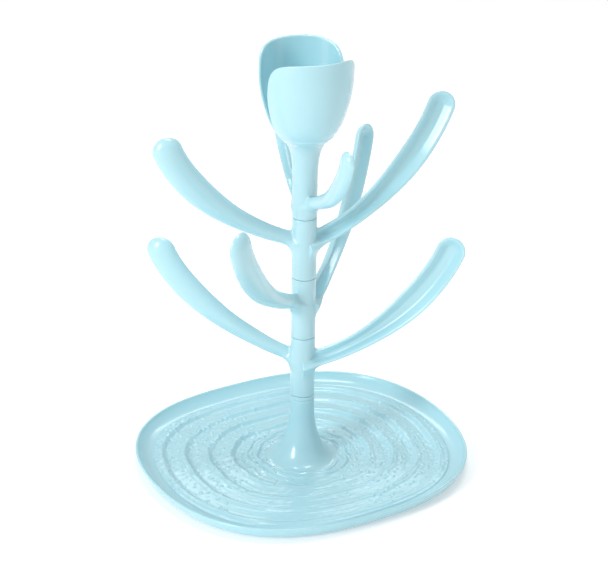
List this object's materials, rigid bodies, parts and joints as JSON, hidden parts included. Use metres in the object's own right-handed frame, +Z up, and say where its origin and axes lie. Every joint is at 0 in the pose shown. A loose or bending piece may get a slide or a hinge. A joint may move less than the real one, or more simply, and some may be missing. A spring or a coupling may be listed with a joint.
{
  "type": "bottle drying rack",
  "caption": "Free-standing drying rack shaped like a small tree: a rippled drip tray, a trunk with swivelling pairs of curved arms, and a tulip cup on top.",
  "frame": {"origin": "on the trunk's axis, in the plane of the table that the feet stand on", "axes": "+Z up along the trunk, -Y towards the front, +X to the right seen from the front"},
  "size_m": [0.2804, 0.2777, 0.3662],
  "materials": {
    "blue_plastic": "pale sky-blue polypropylene, polished mould, softly glossy",
    "foot_rubber": "pale grey-blue soft elastomer, matt"
  },
  "bodies": {
    "tray": {"drip_tray": "blue_plastic", "foot_1": "foot_rubber", "foot_2": "foot_rubber", "foot_3": "foot_rubber", "foot_4": "foot_rubber"},
    "collar": {"base_collar": "blue_plastic"},
    "lower_tier": {"tier_1": "blue_plastic"},
    "middle_tier": {"tier_2": "blue_plastic"},
    "upper_tier": {"tier_3": "blue_plastic"},
    "crown_top": {"crown": "blue_plastic"}
  },
  "joints": [
    {"name": "tree_lift", "type": "slide", "parent": "tray", "child": "collar", "axis": [0, 0, 1], "range_m": [0, 0.03]},
    {"name": "lower_swivel", "type": "hinge", "parent": "collar", "child": "lower_tier", "pos_m": [0, 0, 0.0631], "axis": [0, 0, 1], "continuous": true},
    {"name": "middle_swivel", "type": "hinge", "parent": "lower_tier", "child": "middle_tier", "pos_m": [0, 0, 0.1167], "axis": [0, 0, 1], "continuous": true},
    {"name": "upper_swivel", "type": "hinge", "parent": "middle_tier", "child": "upper_tier", "pos_m": [0, 0, 0.1703], "axis": [0, 0, 1], "continuous": true},
    {"name": "crown_swivel", "type": "hinge", "parent": "upper_tier", "child": "crown_top", "pos_m": [0, 0, 0.2239], "axis": [0, 0, 1], "continuous": true}
  ]
}
